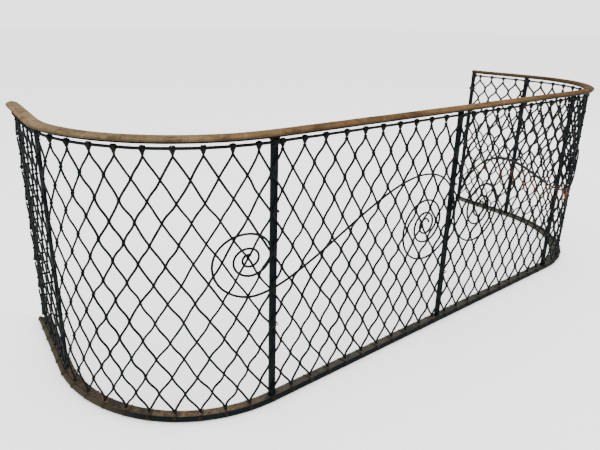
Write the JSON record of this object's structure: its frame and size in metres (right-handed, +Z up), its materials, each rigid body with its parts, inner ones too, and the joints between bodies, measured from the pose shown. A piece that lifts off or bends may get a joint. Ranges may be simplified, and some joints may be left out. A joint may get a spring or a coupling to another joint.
{
  "type": "fireplace screen",
  "caption": "Low wirework fireplace screen with a straight front, round corners and short sides, a brass top rail over hung diamond mesh, flat posts and two S-shaped wire scrolls.",
  "frame": {"origin": "centre of the bounding box's underside, on the floor", "axes": "+Z up, +X along the straight front towards the right-hand end as seen from the front, front faces -Y, open back faces +Y"},
  "size_m": [1.2402, 0.4168, 0.399],
  "materials": {
    "rail_brass": "aged satin",
    "frame_paint": "worn satin paint",
    "blackened_wire": "satin with rust spots",
    "worn_iron": "worn matt"
  },
  "bodies": {
    "root": {"top_rail": "rail_brass", "rail_backing_strip": "frame_paint", "suspension_rod": "blackened_wire", "base_rod": "blackened_wire", "base_strip": "worn_iron", "post_rear_left": "frame_paint", "post_side_left": "frame_paint", "post_front_left": "frame_paint", "post_front_middle": "frame_paint", "post_front_right": "frame_paint", "post_side_right": "frame_paint", "post_rear_right": "frame_paint", "lashing_rear_left_rod": "blackened_wire", "lashing_rear_left_upper": "blackened_wire", "lashing_rear_left_lower": "blackened_wire", "lashing_side_left_rod": "blackened_wire", "lashing_side_left_upper": "blackened_wire", "lashing_side_left_lower": "blackened_wire", "lashing_front_left_rod": "blackened_wire", "lashing_front_left_upper": "blackened_wire", "lashing_front_left_lower": "blackened_wire", "lashing_front_middle_rod": "blackened_wire", "lashing_front_middle_upper": "blackened_wire", "lashing_front_middle_lower": "blackened_wire", "lashing_front_right_rod": "blackened_wire", "lashing_front_right_upper": "blackened_wire", "lashing_front_right_lower": "blackened_wire", "lashing_side_right_rod": "blackened_wire", "lashing_side_right_upper": "blackened_wire", "lashing_side_right_lower": "blackened_wire", "lashing_rear_right_rod": "blackened_wire", "lashing_rear_right_upper": "blackened_wire", "lashing_rear_right_lower": "blackened_wire", "mesh_side_left": "blackened_wire", "mesh_corner_left_rear": "blackened_wire", "mesh_corner_left_middle": "blackened_wire", "mesh_corner_left_front": "blackened_wire", "mesh_front_left": "blackened_wire", "mesh_front_right": "blackened_wire", "mesh_corner_right_front": "blackened_wire", "mesh_corner_right_middle": "blackened_wire", "mesh_corner_right_rear": "blackened_wire", "mesh_side_right": "blackened_wire", "scroll_left": "blackened_wire", "scroll_right": "blackened_wire"}
  },
  "joints": []
}
